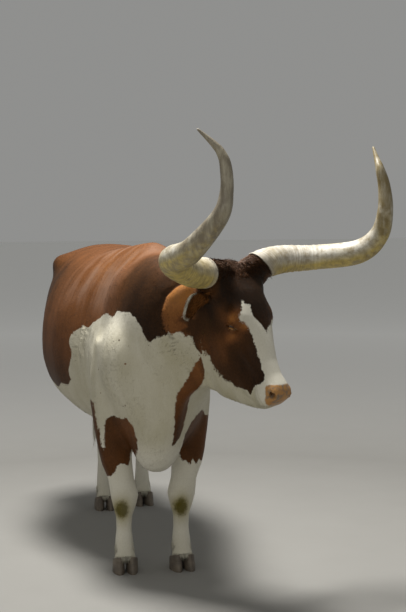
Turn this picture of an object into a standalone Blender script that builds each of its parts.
"""A Texas longhorn steer, standing, life size, in metres, +Z up, facing -Y.

The animal stands on four feet with its neck and head turned to its own left. Its body is
built whole, from lofted trunk, neck, head and limbs with the muscles and bones laid on them,
and is then parted into nodes by thin flat cuts, so that each node meets the next face to face
across GAP. Lengths are measured in the stance frame: X to the animal's left of its spine,
Y backwards from the line of the fore hooves, Z up from the ground. `at` moves that frame so
that the origin lies under the middle of the whole animal.
"""

import math
import random

import bmesh
import bpy
from mathutils import Euler, Matrix, Vector

# Driving dimensions
WITHERS = 1.46
SCALE = WITHERS / 1.46
CENTRE_X = -0.2681
CENTRE_Y = -0.1825
GAP = 0.0003
TRUNK_VOXEL = 0.013
BODY_VOXEL = 0.0095
HEAD_VOXEL = 0.0055
BODY_FACES = 5560
HEAD_FACES = 3350

# The head: its yaw to the animal's left, the slope of the face below level, and its forms
HEAD_YAW = math.radians(38)
FACE_SLOPE = math.radians(58)
POLL = Vector((0.272, -0.518, 1.418))
HORN_MIDDLE = Vector((0.265, -0.509, 1.385))
EYE_OUT = 0.0975
EYE_ALONG = 0.257
EYE_DEEP = -0.088
EYE_RADIUS = 0.0200
LIPS_DEEP = -0.156
NOSTRIL = (0.054, 0.578, -0.090)
FACE_FORWARD = Vector((math.sin(HEAD_YAW), -math.cos(HEAD_YAW), 0))
FACE_LEFT = Vector((math.cos(HEAD_YAW), math.sin(HEAD_YAW), 0))
FACE_DOWN = FACE_FORWARD * math.cos(FACE_SLOPE) - Vector((0, 0, math.sin(FACE_SLOPE)))
FACE_OUT = FACE_FORWARD * math.sin(FACE_SLOPE) + Vector((0, 0, math.cos(FACE_SLOPE)))
RIGHT_WAY = Vector((1, 0, 0))
UP = Vector((0, 0, 1))


def at(x, y, z):
    """A point of the stance frame as a world point."""
    return Vector((x * SCALE + CENTRE_X, y * SCALE + CENTRE_Y, z * SCALE))


def on_head(out, along, deep):
    """A point of the head: out to its left, along the face from the poll, deep under the brow."""
    p = POLL + FACE_LEFT * out + FACE_DOWN * along + FACE_OUT * deep
    return at(*p)


def head_turn():
    """The head's own axes, as columns: left, back up the face, out of the face."""
    return Matrix((FACE_LEFT, -FACE_DOWN, FACE_OUT)).transposed().to_4x4()


def clear_scene():
    for obj in list(bpy.data.objects):
        bpy.data.objects.remove(obj, do_unlink=True)


def new_object(name, bm):
    bmesh.ops.recalc_face_normals(bm, faces=bm.faces)
    mesh = bpy.data.meshes.new(name)
    bm.to_mesh(mesh)
    bm.free()
    obj = bpy.data.objects.new(name, mesh)
    bpy.context.scene.collection.objects.link(obj)
    return obj


def loft(name, rings):
    """A closed skin through rings of equally many points."""
    bm = bmesh.new()
    rows = [[bm.verts.new(p) for p in ring] for ring in rings]
    count = len(rows[0])
    for near, far in zip(rows, rows[1:]):
        for i in range(count):
            j = (i + 1) % count
            bm.faces.new((near[i], near[j], far[j], far[i]))
    bm.faces.new(rows[0])
    bm.faces.new(rows[-1])
    bmesh.ops.triangulate(bm, faces=bm.faces)
    return new_object(name, bm)


def oval(centre, right, up, width, rise, drop, top_power=2.0, low_power=2.0, sides=28):
    """A ring round centre: width each way along right, rise and drop along up."""
    ring = []
    for i in range(sides):
        a = 2 * math.pi * i / sides
        c, s = math.cos(a), math.sin(a)
        power = top_power if s >= 0 else low_power
        across = math.copysign(abs(c) ** (2 / power), c) * width
        along = math.copysign(abs(s) ** (2 / power), s) * (rise if s >= 0 else drop)
        ring.append(centre + right * across + up * along)
    return ring


def ball(name, centre, radii, turn=None, segments=20):
    """An ellipsoid at centre, its radii along the axes of turn."""
    bm = bmesh.new()
    bmesh.ops.create_uvsphere(bm, u_segments=segments, v_segments=segments // 2 + 2, radius=1)
    turn = turn or Matrix.Identity(4)
    scale = Matrix.Diagonal((*[r * SCALE for r in radii], 1))
    bmesh.ops.transform(bm, matrix=Matrix.Translation(centre) @ turn @ scale, verts=bm.verts)
    return new_object(name, bm)


def eased(points, steps):
    """A smooth path through the points, as (place, share along each span) samples."""
    ends = [points[0] * 2 - points[1], *points, points[-1] * 2 - points[-2]]
    path = []
    for i in range(len(points) - 1):
        a, b, c, d = ends[i:i + 4]
        for k in range(steps):
            t = k / steps
            place = 0.5 * (2 * b + (c - a) * t + (2 * a - 5 * b + 4 * c - d) * t * t
                           + (3 * b - a - 3 * c + d) * t ** 3)
            path.append((place, i + t))
    path.append((points[-1].copy(), len(points) - 1.0))
    return path


def between(values, share):
    """The value at a share counted in steps of the list."""
    i = min(int(share), len(values) - 2)
    t = share - i
    return values[i] * (1 - t) + values[i + 1] * t


def tube(name, points, widths, depths=None, side=RIGHT_WAY, steps=3, sides=16):
    """A round or oval limb along a smooth path, its rings square to the path and untwisted."""
    depths = depths or widths
    path = eased(points, steps)
    rings = []
    right = side
    for k, (place, share) in enumerate(path):
        ahead = path[min(k + 1, len(path) - 1)][0] - path[max(k - 1, 0)][0]
        ahead.normalize()
        right = (right - ahead * right.dot(ahead)).normalized()
        up = ahead.cross(right)
        w, d = between(widths, share) * SCALE, between(depths, share) * SCALE
        rings.append(oval(place, right, up, w, d, d, sides=sides))
    return loft(name, rings)


def evaluated(obj):
    """Swaps an object's mesh for the one its modifiers make."""
    depsgraph = bpy.context.evaluated_depsgraph_get()
    mesh = bpy.data.meshes.new_from_object(obj.evaluated_get(depsgraph))
    old = obj.data
    obj.modifiers.clear()
    obj.data = mesh
    bpy.data.meshes.remove(old)


def fused(name, pieces, voxel, faces, passes):
    """One closed skin over overlapping pieces, smoothed and thinned to about that many faces."""
    bm = bmesh.new()
    for piece in pieces:
        bm.from_mesh(piece.data)
    obj = new_object(name, bm)
    for piece in pieces:
        bpy.data.objects.remove(piece, do_unlink=True)
    remesh = obj.modifiers.new("remesh", "REMESH")
    remesh.mode = "VOXEL"
    remesh.voxel_size = voxel
    smooth = obj.modifiers.new("smooth", "SMOOTH")
    smooth.factor = 0.5
    smooth.iterations = passes
    evaluated(obj)
    triangles = sum(len(p.vertices) - 2 for p in obj.data.polygons)
    thin = obj.modifiers.new("thin", "DECIMATE")
    thin.ratio = min(1.0, faces / triangles)
    thin.use_collapse_triangulate = True
    evaluated(obj)
    return obj


# Trunk: one row for each station: Y, middle X, top, bottom, half width, height of the widest
# point, and how square the upper and lower halves are
TRUNK = (
    (-0.285, 0.010, 1.16, 0.70, 0.075, 0.93, 2.0, 2.0),
    (-0.230, 0.010, 1.27, 0.58, 0.170, 0.94, 2.0, 2.0),
    (-0.100, 0.015, 1.400, 0.52, 0.240, 0.95, 1.8, 2.0),
    (0.060, 0.022, 1.475, 0.55, 0.262, 0.98, 1.7, 2.1),
    (0.250, 0.005, 1.455, 0.575, 0.305, 0.96, 1.8, 2.2),
    (0.500, -0.018, 1.422, 0.565, 0.375, 0.93, 2.1, 2.2),
    (0.750, -0.035, 1.412, 0.580, 0.395, 0.94, 2.2, 2.2),
    (0.950, -0.045, 1.414, 0.650, 0.350, 1.00, 2.5, 2.1),
    (1.100, -0.055, 1.410, 0.760, 0.285, 1.08, 2.5, 2.0),
    (1.250, -0.055, 1.396, 0.860, 0.232, 1.12, 2.2, 2.0),
    (1.370, -0.050, 1.366, 0.950, 0.175, 1.14, 2.1, 2.0),
    (1.438, -0.050, 1.305, 1.020, 0.095, 1.16, 2.0, 2.0),
)
PELVIS_X = -0.055


def trunk():
    """The rib cage and belly, with the blades, hips, seat and brisket laid on it."""
    rings = []
    for y, x, top, bottom, half, wide, top_power, low_power in TRUNK:
        rings.append(oval(at(x, y, wide), RIGHT_WAY, UP, half * SCALE, (top - wide) * SCALE,
                          (wide - bottom) * SCALE, top_power, low_power))
    pieces = [loft("trunk", rings)]
    blade = Euler((math.radians(24), 0, 0)).to_matrix().to_4x4()
    thigh = Euler((math.radians(-14), 0, 0)).to_matrix().to_4x4()
    for s in (-1, 1):
        pelvis = PELVIS_X
        pieces += [
            ball("blade", at(0.015 + s * 0.132, 0.035, 1.110), (0.100, 0.155, 0.270), blade),
            ball("shoulder", at(0.010 + s * 0.160, -0.120, 0.950), (0.102, 0.145, 0.195)),
            ball("triceps", at(0.010 + s * 0.205, 0.090, 0.920), (0.075, 0.150, 0.180)),
            ball("hook", at(pelvis + s * 0.228, 1.015, 1.305), (0.074, 0.110, 0.062)),
            ball("pin", at(pelvis + s * 0.105, 1.385, 1.265), (0.045, 0.055, 0.055)),
            ball("thigh", at(pelvis + s * 0.155, 1.200, 1.020), (0.125, 0.235, 0.290), thigh),
            ball("stifle", at(pelvis + s * 0.200, 1.030, 0.850), (0.080, 0.120, 0.150)),
        ]
    pieces.append(ball("loin", at(PELVIS_X, 1.030, 1.310), (0.262, 0.125, 0.100)))
    pieces.append(ball("brisket", at(-0.005, -0.140, 0.640), (0.122, 0.170, 0.185)))
    pieces.append(ball("sheath", at(-0.02, 0.620, 0.570), (0.035, 0.110, 0.042)))
    return pieces


# Neck: one row for each ring: place, yaw to the left in degrees, half width, rise, drop
NECK = (
    ((0.010, 0.120, 1.050), 0, 0.210, 0.380, 0.450),
    ((0.010, -0.050, 1.080), 6, 0.205, 0.350, 0.500),
    ((0.030, -0.170, 1.120), 14, 0.192, 0.295, 0.470),
    ((0.075, -0.275, 1.160), 25, 0.172, 0.245, 0.380),
    ((0.135, -0.350, 1.190), 33, 0.155, 0.210, 0.325),
    ((0.195, -0.420, 1.220), 38, 0.135, 0.175, 0.340),
    ((0.245, -0.480, 1.250), 38, 0.108, 0.135, 0.330),
)

# Loose skin under the jaw: distance from the poll, top, bottom, half width
THROAT = (
    (0.250, -0.150, -0.345, 0.096),
    (0.330, -0.140, -0.385, 0.090),
    (0.400, -0.130, -0.398, 0.078),
    (0.450, -0.125, -0.374, 0.064),
    (0.490, -0.125, -0.334, 0.046),
    (0.525, -0.130, -0.294, 0.041),
    (0.560, -0.135, -0.254, 0.036),
    (0.585, -0.140, -0.220, 0.030),
    (0.602, -0.145, -0.186, 0.018),
)


def neck():
    """The neck bends to the left, with the crest above and the loose throat skin below."""
    rings = []
    for place, yaw, half, rise, drop in NECK:
        yaw = math.radians(yaw)
        right = Vector((math.cos(yaw), math.sin(yaw), 0))
        rings.append(oval(at(*place), right, UP, half * SCALE, rise * SCALE, drop * SCALE, 1.9, 1.6))
    edge = [at(0.235, -0.455, 0.920), at(0.190, -0.425, 0.910), at(0.125, -0.365, 0.900),
            at(0.055, -0.290, 0.830), at(0.015, -0.235, 0.680), at(0.000, -0.170, 0.555),
            at(0.000, -0.050, 0.530)]
    widths = (0.036, 0.040, 0.046, 0.052, 0.062, 0.072, 0.050)
    depths = (0.046, 0.050, 0.054, 0.066, 0.082, 0.070, 0.040)
    skin = []
    for along, top, bottom, half in THROAT:
        wide = top * 0.75 + bottom * 0.25
        skin.append(oval(on_head(0, along, wide), FACE_LEFT, FACE_OUT, half * SCALE,
                         (top - wide) * SCALE, (wide - bottom) * SCALE, 2.0, 1.75))
    return [loft("neck_flesh", rings), loft("throat", skin),
            tube("dewlap", edge, widths, depths, side=FACE_LEFT, steps=4)]


# Head: one row for each ring along the face: distance from the poll, top, bottom, half width,
# depth of the widest point, and how square the upper and lower halves are
HEAD = (
    (-0.035, -0.056, -0.130, 0.064, -0.088, 2.0, 2.0),
    (0.005, -0.024, -0.180, 0.102, -0.078, 2.2, 2.0),
    (0.070, -0.006, -0.226, 0.122, -0.074, 2.5, 2.1),
    (0.140, 0.004, -0.260, 0.121, -0.072, 2.8, 2.2),
    (0.205, 0.004, -0.276, 0.112, -0.072, 2.8, 2.3),
    (0.260, -0.002, -0.272, 0.103, -0.076, 2.5, 2.4),
    (0.315, -0.011, -0.252, 0.089, -0.086, 2.2, 2.5),
    (0.375, -0.025, -0.224, 0.073, -0.096, 2.0, 2.5),
    (0.440, -0.043, -0.202, 0.062, -0.104, 2.0, 2.5),
    (0.500, -0.051, -0.194, 0.058, -0.110, 2.1, 2.5),
    (0.550, -0.047, -0.192, 0.064, -0.112, 2.3, 2.5),
    (0.582, -0.053, -0.188, 0.064, -0.114, 2.4, 2.4),
    (0.598, -0.066, -0.176, 0.056, -0.118, 2.3, 2.3),
    (0.607, -0.086, -0.154, 0.036, -0.120, 2.0, 2.0),
)
# Forms laid on the skull, broad ones first: out, along, deep, and the three radii
BROAD_FORMS = (
    ("poll", 0.000, 0.014, -0.060, 0.098, 0.046, 0.030),
    ("temple", 0.080, 0.090, -0.072, 0.076, 0.092, 0.068),
    ("brow", 0.076, 0.222, -0.054, 0.046, 0.078, 0.044),
    ("cheek", 0.062, 0.245, -0.175, 0.044, 0.130, 0.098),
    ("crest", 0.060, 0.350, -0.106, 0.026, 0.110, 0.034),
    ("jaw", 0.036, 0.380, -0.192, 0.036, 0.180, 0.044),
)
FINE_FORMS = (
    ("orbit", 0.094, 0.256, -0.083, 0.031, 0.041, 0.037),
    ("wing", 0.040, 0.562, -0.090, 0.026, 0.040, 0.031),
    ("lip", 0.042, 0.552, -0.142, 0.030, 0.054, 0.036),
    ("chin", 0.018, 0.556, -0.176, 0.034, 0.048, 0.026),
    ("nose", 0.000, 0.584, -0.104, 0.045, 0.025, 0.040),
)


# Horns: one row for each bend: how far out, forward and up from the middle, and the radius
LEFT_HORN = (
    (0.076, -0.002, -0.014, 0.0539), (0.165, 0.010, 0.005, 0.0613),
    (0.306, 0.003, 0.017, 0.0603), (0.430, 0.082, 0.023, 0.0544),
    (0.529, 0.242, 0.050, 0.0522), (0.562, 0.326, 0.122, 0.0428),
    (0.550, 0.367, 0.225, 0.0343), (0.545, 0.364, 0.325, 0.0277),
    (0.531, 0.352, 0.395, 0.0212), (0.546, 0.322, 0.446, 0.0124),
    (0.562, 0.291, 0.497, 0.0055))
RIGHT_HORN = (
    (0.075, -0.005, -0.015, 0.0550), (0.182, -0.002, -0.015, 0.0623),
    (0.310, 0.024, 0.000, 0.0611), (0.456, 0.074, 0.050, 0.0584),
    (0.521, 0.225, 0.099, 0.0481), (0.525, 0.365, 0.226, 0.0353),
    (0.514, 0.388, 0.320, 0.0267), (0.522, 0.390, 0.407, 0.0239),
    (0.524, 0.374, 0.452, 0.0194), (0.535, 0.348, 0.490, 0.0146),
    (0.567, 0.289, 0.550, 0.0048))


def horn_path(s):
    """The middle line of a horn, from inside the skull to the tip, and its radii."""
    way = FACE_LEFT * s
    places = []
    radii = []
    for out, fore, rise, radius in LEFT_HORN if s > 0 else RIGHT_HORN:
        p = HORN_MIDDLE + way * out + FACE_FORWARD * fore + UP * rise
        places.append(at(*p))
        radii.append(radius * SCALE)
    return places, radii


def horn_plane(s):
    """The flat at a horn's root: a point on it and its normal, oblique on the left horn."""
    path = horn_path(s)[0]
    way = (path[2] - path[0]).normalized()
    if s > 0:
        oblique = (way + UP * 0.85 + FACE_FORWARD * 0.25).normalized()
        return path[1] - way * 0.014 * SCALE, oblique
    return path[1], way


def ear_axes(s):
    """An ear's root, its way out to the tip, its width and the way its cup opens."""
    root = on_head(s * 0.116, 0.092, -0.132)
    if s > 0:
        way = FACE_LEFT * 0.52 - FACE_FORWARD * 0.78 - UP * 0.34
        open_way = FACE_LEFT * 0.80 + FACE_FORWARD * 0.30 - UP * 0.35
    else:
        way = -FACE_LEFT * 0.93 + FACE_FORWARD * 0.22 - UP * 0.24
        open_way = FACE_FORWARD * 0.90 - FACE_LEFT * 0.15 - UP * 0.20
    way.normalize()
    open_way = (open_way - way * open_way.dot(way)).normalized()
    return root, way, way.cross(open_way), open_way


EAR_LENGTH = 0.158
EAR_START = 0.030


def head_forms(table):
    """Ellipsoids laid on the skull, in pairs where they stand off its middle."""
    pieces = []
    for name, out, along, deep, *radii in table:
        for s in (-1, 1) if out else (1,):
            pieces.append(ball(name, on_head(s * out, along, deep), radii, head_turn()))
    return pieces


def head():
    """The skull with its flesh: horn bosses, brows, cheeks, jaw, lips and wings of the nose."""
    rings = []
    for along, top, bottom, half, wide, top_power, low_power in HEAD:
        rings.append(oval(on_head(0, along, wide), FACE_LEFT, FACE_OUT, half * SCALE,
                          (top - wide) * SCALE, (wide - bottom) * SCALE, top_power, low_power))
    broad = [loft("skull", rings)] + head_forms(BROAD_FORMS)
    pieces = [fused("broad", broad, HEAD_VOXEL * 1.3, 60000, 16)] + head_forms(FINE_FORMS)
    for s in (-1, 1):
        path = horn_path(s)[0]
        boss = [on_head(s * 0.010, 0.050, -0.076), path[0], path[1],
                path[1].lerp(path[2], 0.25), path[1].lerp(path[2], 0.50)]
        pieces.append(tube("boss", boss, (0.036, 0.047, 0.0640, 0.0655, 0.0610), side=FACE_DOWN,
                           sides=20))
        mound = path[1] - (UP * 0.055 + FACE_LEFT * s * 0.018) * SCALE
        pieces.append(ball("mound", mound, (0.038, 0.038, 0.038)))
        root, way, wide, open_way = ear_axes(s)
        stub = [root - way * 0.060, root, root + way * 0.045]
        pieces.append(tube("ear_stub", stub, (0.036, 0.031, 0.028), (0.036, 0.028, 0.026), side=wide))
    return pieces


# Legs: one row for each ring: height, X, Y, half width, half depth
FORELEG = (
    (1.040, 0.175, -0.010, 0.080, 0.140),
    (0.880, 0.190, 0.045, 0.084, 0.130),
    (0.760, 0.190, 0.052, 0.085, 0.106),
    (0.640, 0.178, 0.035, 0.083, 0.088),
    (0.540, 0.168, 0.020, 0.078, 0.075),
    (0.480, 0.160, 0.012, 0.072, 0.069),
    (0.410, 0.143, 0.004, 0.061, 0.062),
    (0.345, 0.130, -0.004, 0.067, 0.068),
    (0.295, 0.130, 0.000, 0.056, 0.059),
    (0.245, 0.131, 0.006, 0.040, 0.048),
    (0.185, 0.131, 0.008, 0.038, 0.045),
    (0.128, 0.131, 0.004, 0.045, 0.054),
    (0.092, 0.131, -0.016, 0.043, 0.047),
    (0.066, 0.131, -0.030, 0.053, 0.054),
    (0.030, 0.131, -0.038, 0.057, 0.060),
)
HINDLEG = (
    (1.120, 0.140, 1.220, 0.085, 0.190),
    (0.960, 0.165, 1.180, 0.095, 0.185),
    (0.830, 0.175, 1.165, 0.084, 0.162),
    (0.710, 0.170, 1.210, 0.065, 0.116),
    (0.625, 0.162, 1.270, 0.051, 0.088),
    (0.565, 0.158, 1.322, 0.046, 0.078),
    (0.505, 0.155, 1.345, 0.051, 0.072),
    (0.440, 0.154, 1.345, 0.048, 0.060),
    (0.360, 0.153, 1.335, 0.038, 0.049),
    (0.250, 0.153, 1.322, 0.035, 0.044),
    (0.180, 0.153, 1.315, 0.038, 0.046),
    (0.130, 0.153, 1.308, 0.044, 0.052),
    (0.092, 0.153, 1.286, 0.042, 0.047),
    (0.066, 0.153, 1.272, 0.051, 0.053),
    (0.030, 0.153, 1.264, 0.055, 0.058),
)
# Each foot's shift from the neutral stance, outwards and backwards, and its toe-out in degrees
FEET = {
    "fore_left": (FORELEG, 1, 0.000, 0.000, 4),
    "fore_right": (FORELEG, -1, -0.004, 0.000, 3),
    "hind_left": (HINDLEG, 1, 0.002, 0.020, 6),
    "hind_right": (HINDLEG, -1, -0.095, -0.050, 5),
}


def leg_rings(foot):
    """The rings of one leg, from inside the trunk to below the coronet."""
    stations, s, wide, back, toe = FEET[foot]
    for height, x, y, half, deep in stations:
        t = min(max((1.0 - height) / 0.6, 0), 1)
        share = t * t * (3 - 2 * t)
        hang = PELVIS_X * (1 - share) if foot.startswith("hind") else 0.0
        yield height, s * (x + wide * share) + hang, y + back * share, half, deep


def foot_place(foot):
    x, y = list(leg_rings(foot))[-1][1:3]
    return x, y


def leg(foot):
    """One leg with its elbow or point of hock and its two dewclaws."""
    rows = list(leg_rings(foot))
    rings = []
    for height, x, y, half, deep in rows:
        rings.append(oval(at(x, y, height), RIGHT_WAY, Vector((0, 1, 0)), half * SCALE,
                          deep * SCALE, deep * SCALE, 2.1, 2.1, sides=20))
    pieces = [loft(foot + "_flesh", rings)]
    if foot.startswith("hind"):
        hock = rows[5]
        pieces.append(ball("hock", at(hock[1], hock[2] + 0.060, 0.562), (0.022, 0.028, 0.048)))
    else:
        out = FEET[foot][1]
        pieces.append(ball("elbow", at(out * 0.205, 0.155, 0.795), (0.040, 0.050, 0.065)))
    x, y = rows[11][1:3]
    for side in (-1, 1):
        pieces.append(ball("dewclaw", at(x + side * 0.026, y + 0.046, 0.112), (0.016, 0.018, 0.022)))
    return pieces


def tail_path():
    """The dock from the root of the tail down to the switch."""
    x = PELVIS_X
    return [at(x, 1.330, 1.340), at(x, 1.430, 1.330), at(x + 0.004, 1.496, 1.235),
            at(x + 0.010, 1.502, 1.050), at(x + 0.014, 1.500, 0.860), at(x + 0.016, 1.496, 0.640)]


TAIL_RADII = (0.036, 0.034, 0.027, 0.021, 0.018, 0.016)
TAIL_END = 0.690


def copy_of(obj, name):
    twin = bpy.data.objects.new(name, obj.data.copy())
    bpy.context.scene.collection.objects.link(twin)
    return twin


def keep(obj, point, normal):
    """Cuts a closed mesh flat and keeps the side the normal points to."""
    bm = bmesh.new()
    bm.from_mesh(obj.data)
    geometry = bm.verts[:] + bm.edges[:] + bm.faces[:]
    bmesh.ops.bisect_plane(bm, geom=geometry, dist=1e-6, plane_co=point, plane_no=normal,
                           clear_inner=True)
    rim = [e for e in bm.edges if e.is_boundary]
    caps = bmesh.ops.holes_fill(bm, edges=rim, sides=0)["faces"]
    bmesh.ops.triangulate(bm, faces=caps)
    bmesh.ops.recalc_face_normals(bm, faces=bm.faces)
    bm.to_mesh(obj.data)
    bm.free()


def boolean(obj, cutter, operation):
    """Cuts one mesh with another, exactly, and removes the cutter."""
    cut = obj.modifiers.new("cut", "BOOLEAN")
    cut.operation = operation
    cut.object = cutter
    cut.solver = "EXACT"
    evaluated(obj)
    bpy.data.objects.remove(cutter, do_unlink=True)


def clear_of(obj, other):
    """Cuts a mesh back from its neighbour by about the gap."""
    swollen = copy_of(other, "swollen")
    for v, n in zip(swollen.data.vertices, [v.normal.copy() for v in swollen.data.vertices]):
        v.co += n * GAP * 1.6
    boolean(obj, swollen, "DIFFERENCE")


def well(corners, heights):
    """A straight-sided block over four ground corners, its top at the four given heights."""
    floor = [at(x, y, -0.2) for x, y in corners]
    top = [at(x, y, z) for (x, y), z in zip(corners, heights)]
    return loft("well", [floor, top])


def leg_well(foot, lift):
    """The block a leg is parted with: sloping up outwards in front, and backwards behind."""
    s = FEET[foot][1]
    if foot.startswith("fore"):
        inner, outer, near, far = s * 0.020, s * 0.320, -0.16, 0.20
        heights = (0.450, 0.625, 0.625, 0.450)
    else:
        inner, outer, near, far = (0.060 if s > 0 else -0.030), s * 0.340, 0.86, 1.66
        heights = (0.580, 0.580, 0.940, 0.940)
    corners = ((inner, near), (outer, near), (outer, far), (inner, far))
    return well(corners, [h + lift for h in heights])


def coronet(foot, drop):
    """The flat the hoof is parted with: a point on it and its upward normal."""
    x, y = foot_place(foot)
    return at(x, y + 0.020, 0.060 - drop), Vector((0, 0.28, 1)).normalized()


def claw(name, foot, side):
    """One claw of a cloven hoof: flat sole, sloping toe, upright heel, flat inner wall."""
    x, y = foot_place(foot)
    turn = math.radians(FEET[foot][4] * FEET[foot][1])
    rings = []
    for height, toe, heel, half in ((0.0, 0.073, 0.052, 0.0290), (0.020, 0.066, 0.053, 0.0295),
                                    (0.050, 0.052, 0.051, 0.0280), (0.092, 0.032, 0.046, 0.0255)):
        ring = []
        for i in range(14):
            a = 2 * math.pi * i / 14
            across = max(math.cos(a) * half, -half * 0.84)
            ahead = math.sin(a)
            if ahead > 0:
                across *= 1 - 0.22 * ahead
            ahead = -abs(ahead) ** 0.85 * toe if ahead > 0 else abs(ahead) ** 0.9 * heel
            px = side * (0.0285 + across)
            py = ahead + 0.012
            ring.append(at(x + px * math.cos(turn) - py * math.sin(turn),
                           y + px * math.sin(turn) + py * math.cos(turn), height))
        rings.append(ring)
    obj = loft(name, rings)
    point, normal = coronet(foot, GAP)
    keep(obj, point, -normal)
    return obj


def ear(name, s):
    """An ear: a cupped leaf, round at its root and pointed at its tip."""
    root, way, wide, open_way = ear_axes(s)
    rings = []
    for share, half, depth, wall in ((0.00, 0.026, 0.024, 1.00), (0.12, 0.031, 0.027, 0.80),
                                     (0.25, 0.041, 0.030, 0.36), (0.42, 0.050, 0.031, 0.26),
                                     (0.60, 0.051, 0.028, 0.25), (0.76, 0.042, 0.022, 0.28),
                                     (0.90, 0.025, 0.014, 0.40), (1.00, 0.007, 0.005, 0.90)):
        sag = -0.020 * share * share
        centre = root + way * (EAR_START + GAP + share * EAR_LENGTH) * SCALE + UP * sag
        ring = []
        for i in range(11):
            a = math.pi * i / 10
            ring.append(centre - wide * math.cos(a) * half - open_way * math.sin(a) * depth)
        for i in range(1, 10):
            a = math.pi * (1 - i / 10)
            inner = depth * (1 - wall * 2) if wall < 0.5 else -depth * wall
            ring.append(centre - wide * math.cos(a) * half * 0.93 - open_way * math.sin(a) * inner)
        rings.append(ring)
    return loft(name, rings)


def eye_centre(s):
    return on_head(s * EYE_OUT, EYE_ALONG, EYE_DEEP)


def carve_head(obj):
    """Opens the lids, the nostrils and the line of the mouth."""
    turn = head_turn()
    for s in (-1, 1):
        boolean(obj, ball("socket", eye_centre(s), (EYE_RADIUS + GAP,) * 3, segments=16), "DIFFERENCE")
        corner_way = FACE_DOWN * 0.70 + FACE_OUT * 0.71
        corner_way.normalize()
        slit = Matrix((FACE_LEFT, corner_way, FACE_LEFT.cross(corner_way))).transposed().to_4x4()
        place = eye_centre(s) + FACE_LEFT * s * 0.020 * SCALE
        boolean(obj, ball("slit", place, (0.0220, 0.0245, 0.0034), slit), "DIFFERENCE")
        out, along, deep = NOSTRIL
        hole = turn @ Euler((math.radians(14), 0, s * math.radians(48))).to_matrix().to_4x4()
        boolean(obj, ball("nostril", on_head(s * out, along, deep), (0.0110, 0.0240, 0.0150), hole),
                "DIFFERENCE")
    half = ((0.000, 0.616), (0.030, 0.610), (0.056, 0.596), (0.070, 0.570), (0.074, 0.530),
            (0.074, 0.486))
    lips = [on_head(out, along, LIPS_DEEP + (0.616 - along) * 0.14) for out, along in half[::-1]]
    lips += [on_head(-out, along, LIPS_DEEP + (0.616 - along) * 0.14) for out, along in half[1:]]
    boolean(obj, tube("mouth", lips, (0.008,) + (0.015,) * 9 + (0.008,), (0.0024,) * 11,
                      side=FACE_LEFT, steps=2, sides=8), "DIFFERENCE")


def lock(root, way, length, width, thickness, bend, turn):
    """A flat tapered lock of hair, bending down from its root to its tip."""
    across = Vector((math.cos(turn), math.sin(turn), 0))
    rings = []
    for share, wide in ((0.0, 0.70), (0.25, 1.00), (0.55, 0.85), (0.80, 0.50), (1.0, 0.06)):
        sag = bend * length * share * (1 - share) * 2
        centre = root + way * length * share + across.cross(UP) * sag
        thin = across.cross(way).normalized() * thickness * (wide * 0.6 + 0.25)
        ring = [centre + across * width * wide, centre + thin, centre - across * width * wide,
                centre - thin]
        rings.append(ring)
    return loft("lock", rings)


def switch(name):
    """The brush of long hair at the tail's end: a short core under tiers of overlapping locks."""
    rng = random.Random(4)
    x = PELVIS_X + 0.016
    core = [at(x, 1.4975, TAIL_END + 0.02), at(x, 1.4965, 0.640), at(x + 0.002, 1.495, 0.560),
            at(x + 0.003, 1.494, 0.480)]
    obj = tube(name, core, (0.0165, 0.024, 0.027, 0.012), steps=2, sides=10)
    keep(obj, at(x, 1.5, TAIL_END - GAP), -UP)
    locks = bpy.data.collections.new("locks")
    bpy.context.scene.collection.children.link(locks)
    tiers = ((0.674, 5, 0.0100, 0.240), (0.628, 5, 0.0140, 0.300), (0.576, 5, 0.0150, 0.330),
             (0.520, 3, 0.0080, 0.290))
    for k, (height, count, reach, length) in enumerate(tiers):
        for i in range(count):
            a = 2 * math.pi * (i + 0.5 * (k % 2) + rng.uniform(-0.18, 0.18)) / count
            out = Vector((math.cos(a), math.sin(a), 0))
            root = at(x, 1.4955, height) + out * reach * SCALE
            way = (out * rng.uniform(0.030, 0.085) - UP).normalized()
            piece = lock(root, way, length * rng.uniform(0.88, 1.10), 0.0215 * rng.uniform(0.85, 1.15),
                         0.0060, rng.uniform(-0.12, -0.05), a + math.pi / 2)
            bpy.context.scene.collection.objects.unlink(piece)
            locks.objects.link(piece)
    join = obj.modifiers.new("join", "BOOLEAN")
    join.operation = "UNION"
    join.operand_type = "COLLECTION"
    join.collection = locks
    join.solver = "EXACT"
    evaluated(obj)
    for piece in list(locks.objects):
        bpy.data.objects.remove(piece, do_unlink=True)
    bpy.data.collections.remove(locks)
    largest_only(obj)
    return obj


def largest_only(obj):
    """Drops all but the largest closed surface of a mesh."""
    bm = bmesh.new()
    bm.from_mesh(obj.data)
    left = set(bm.verts)
    best = set()
    while left:
        seed = left.pop()
        patch, stack = {seed}, [seed]
        while stack:
            for edge in stack.pop().link_edges:
                for v in edge.verts:
                    if v not in patch:
                        patch.add(v)
                        stack.append(v)
        left -= patch
        if len(patch) > len(best):
            best = patch
    bmesh.ops.delete(bm, geom=[v for v in bm.verts if v not in best], context="VERTS")
    bm.to_mesh(obj.data)
    bm.free()


def dressed(obj, colour, roughness):
    """Gives a node its own Principled material."""
    material = bpy.data.materials.new(obj.name)
    material.use_nodes = True
    shader = material.node_tree.nodes["Principled BSDF"]
    shader.inputs["Base Color"].default_value = (*colour, 1)
    shader.inputs["Roughness"].default_value = roughness
    material.diffuse_color = (*colour, 1)
    obj.data.materials.clear()
    obj.data.materials.append(material)
    obj.data.name = obj.name


BROWN = (0.20, 0.075, 0.035)
DARK_BROWN = (0.075, 0.028, 0.014)
WHITE = (0.62, 0.57, 0.49)
IVORY = (0.52, 0.47, 0.34)
HOOF = (0.13, 0.10, 0.08)


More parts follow.
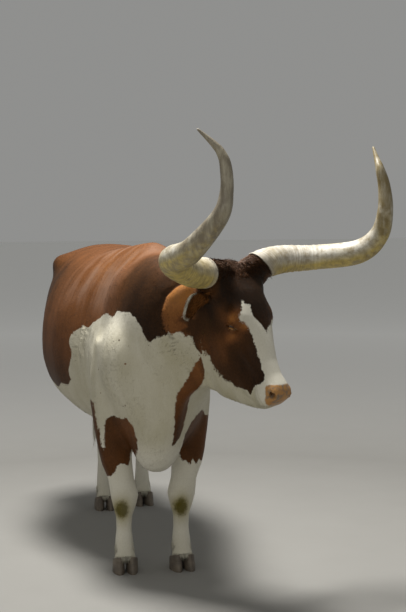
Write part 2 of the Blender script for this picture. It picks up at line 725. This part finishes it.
def main():
    clear_scene()
    head_pieces = head()
    neck_pieces = neck()
    copies = [copy_of(piece, piece.name + "_twin") for piece in head_pieces + neck_pieces]
    legs = {foot: leg(foot) for foot in FEET}
    upper = [copy_of(legs[foot][0], foot + "_twin") for foot in FEET]
    mass = fused("mass", trunk() + copies + upper, TRUNK_VOXEL, 40000, 60)
    body_pieces = [mass]
    for foot in FEET:
        body_pieces += legs[foot]
    body_pieces.append(tube("dock", tail_path(), TAIL_RADII, steps=4))
    skull = fused("head", head_pieces + neck_pieces, HEAD_VOXEL, HEAD_FACES, 11)
    body = fused("torso", body_pieces, BODY_VOXEL, BODY_FACES, 7)

    # The head parts from the neck behind the poll and the jaw, the neck from the trunk at the
    # shoulders
    jaw_way = FACE_DOWN * 0.56 + FACE_OUT * 0.83
    jaw_way.normalize()
    jaw_place = on_head(0, 0, -0.1265)
    keep(skull, jaw_place + jaw_way * GAP / 2, jaw_way)
    keep(body, jaw_place - jaw_way * GAP / 2, -jaw_way)
    neck_way = Vector((0.25, -0.95, 0.20)).normalized()
    neck_place = at(0, -0.170, 1.0)
    neck_node = copy_of(body, "neck")
    keep(neck_node, neck_place + neck_way * GAP / 2, neck_way)
    keep(body, neck_place - neck_way * GAP / 2, -neck_way)

    # The tail parts behind the rump and ends where the switch begins
    dock = ((PELVIS_X - 0.050, 1.458), (PELVIS_X + 0.075, 1.458),
            (PELVIS_X + 0.075, 1.62), (PELVIS_X - 0.050, 1.62))
    tail = copy_of(body, "tail")
    boolean(tail, well([(x, y + GAP) for x, y in dock[:2]] + list(dock[2:]), (1.5,) * 4), "INTERSECT")
    boolean(body, well(dock, (1.5,) * 4), "DIFFERENCE")
    keep(tail, at(0, 0, TAIL_END), UP)
    dressed(tail, BROWN, 0.8)
    dressed(switch("tail_switch"), WHITE, 0.85)

    # Each leg parts from the trunk under the elbow or the stifle, and each hoof at its coronet
    for foot in FEET:
        limb = copy_of(body, foot + "_leg")
        boolean(limb, leg_well(foot, 0.0), "INTERSECT")
        boolean(body, leg_well(foot, GAP), "DIFFERENCE")
        point, normal = coronet(foot, 0.0)
        keep(limb, point, normal)
        dressed(limb, WHITE, 0.8)
        for side, label in ((-1, "right"), (1, "left")):
            dressed(claw("%s_claw_%s" % (foot, label), foot, side), HOOF, 0.5)
    largest_only(body)

    for s, label in ((1, "left"), (-1, "right")):
        point, way = horn_plane(s)
        path, radii = horn_path(s)
        horn = tube("horn_" + label, path, radii, side=UP, steps=3, sides=14)
        keep(horn, point + way * GAP, way)
        dressed(horn, IVORY, 0.35)
        along = (path[2] - path[0]).normalized()
        sleeve = tube("sleeve", [point - along * 0.11, point, point + along * 0.15], (0.09,) * 3,
                      side=UP, steps=1)
        keep(sleeve, point, way)
        boolean(skull, sleeve, "DIFFERENCE")
        root, ear_way, wide, open_way = ear_axes(s)
        cap = [root + ear_way * EAR_START, root + ear_way * (EAR_START + 0.03),
               root + ear_way * (EAR_START + 0.06)]
        boolean(skull, tube("cap", cap, (0.038,) * 3, side=wide, steps=1), "DIFFERENCE")
        leaf = ear("ear_" + label, s)
        clear_of(skull, leaf)
        clear_of(neck_node, leaf)
        dressed(leaf, BROWN, 0.8)
        eyeball = ball("eye_" + label, eye_centre(s), (EYE_RADIUS,) * 3, segments=16)
        dressed(eyeball, (0.02, 0.012, 0.008), 0.1)
    carve_head(skull)
    largest_only(skull)
    dressed(skull, DARK_BROWN, 0.75)
    dressed(neck_node, BROWN, 0.8)
    dressed(body, BROWN, 0.8)


if __name__ == "__main__":
    main()
